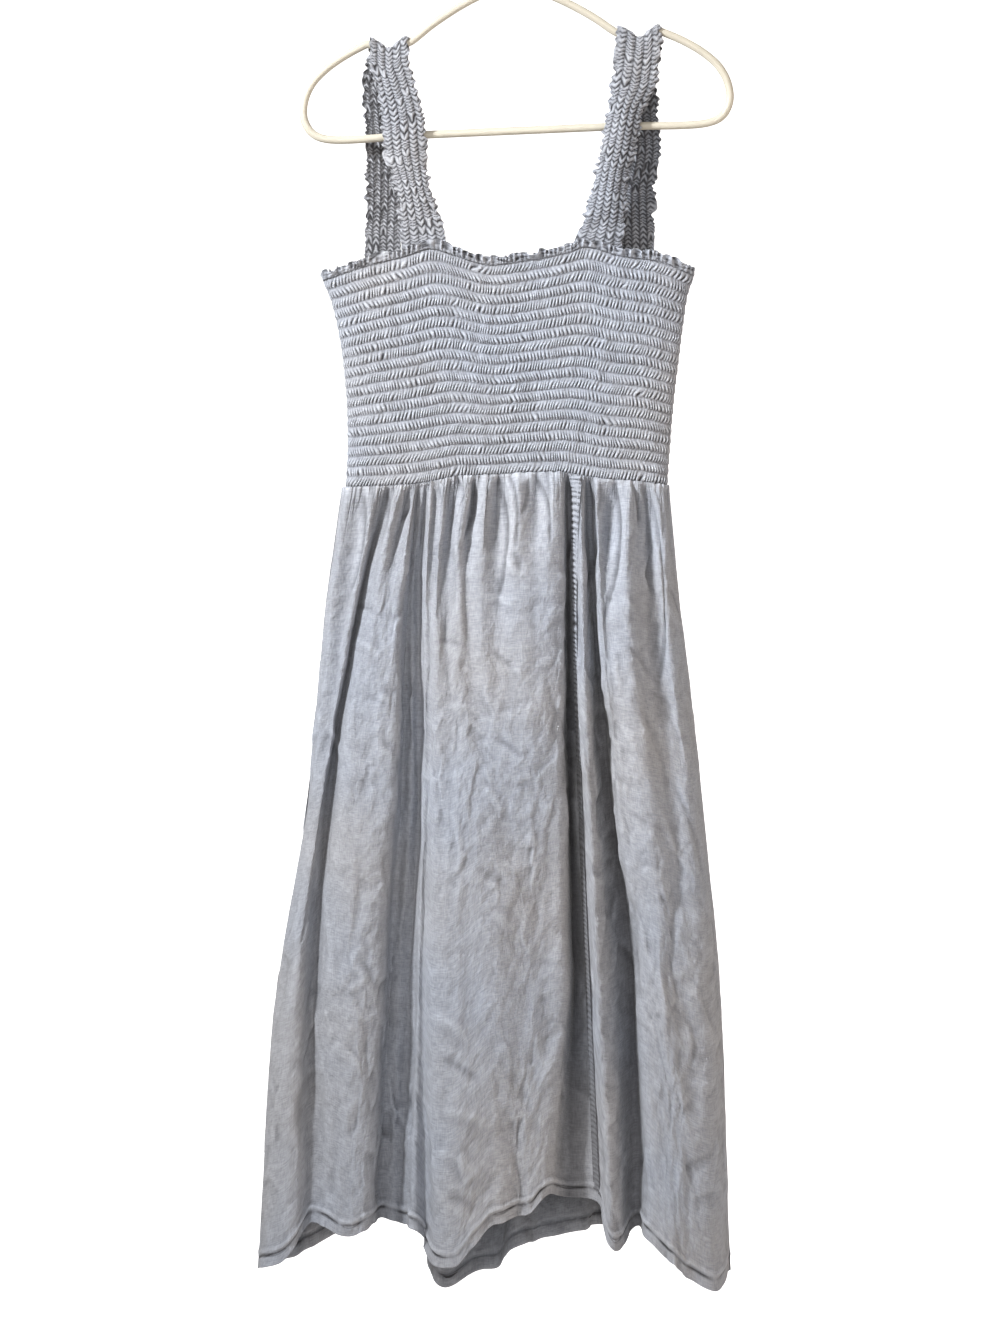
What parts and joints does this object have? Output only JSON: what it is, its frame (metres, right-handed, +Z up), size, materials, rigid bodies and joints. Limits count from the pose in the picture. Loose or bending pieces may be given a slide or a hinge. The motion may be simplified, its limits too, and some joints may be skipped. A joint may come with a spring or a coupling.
{
  "type": "smocked dress on a tubular hanger",
  "caption": "Midi dress with a smocked bodice, wide smocked straps and a full gathered skirt, hanging from a plain tubular hanger.",
  "frame": {"origin": "inner top of the hanger's hook, where a rail carries it", "axes": "+Z up along the hanging dress, -Y towards the dress's front, +X to the right as seen from the front"},
  "size_m": [0.477, 0.1254, 1.396],
  "materials": {
    "cloth": "matte washed linen",
    "hanger": "satin"
  },
  "bodies": {
    "root": {"bodice_front": "cloth", "bodice_back": "cloth", "heading_front": "cloth", "heading_back": "cloth", "strap_left": "cloth", "strap_right": "cloth", "skirt_front_left": "cloth", "skirt_front_right": "cloth", "skirt_back": "cloth", "hanger": "hanger"}
  },
  "joints": []
}
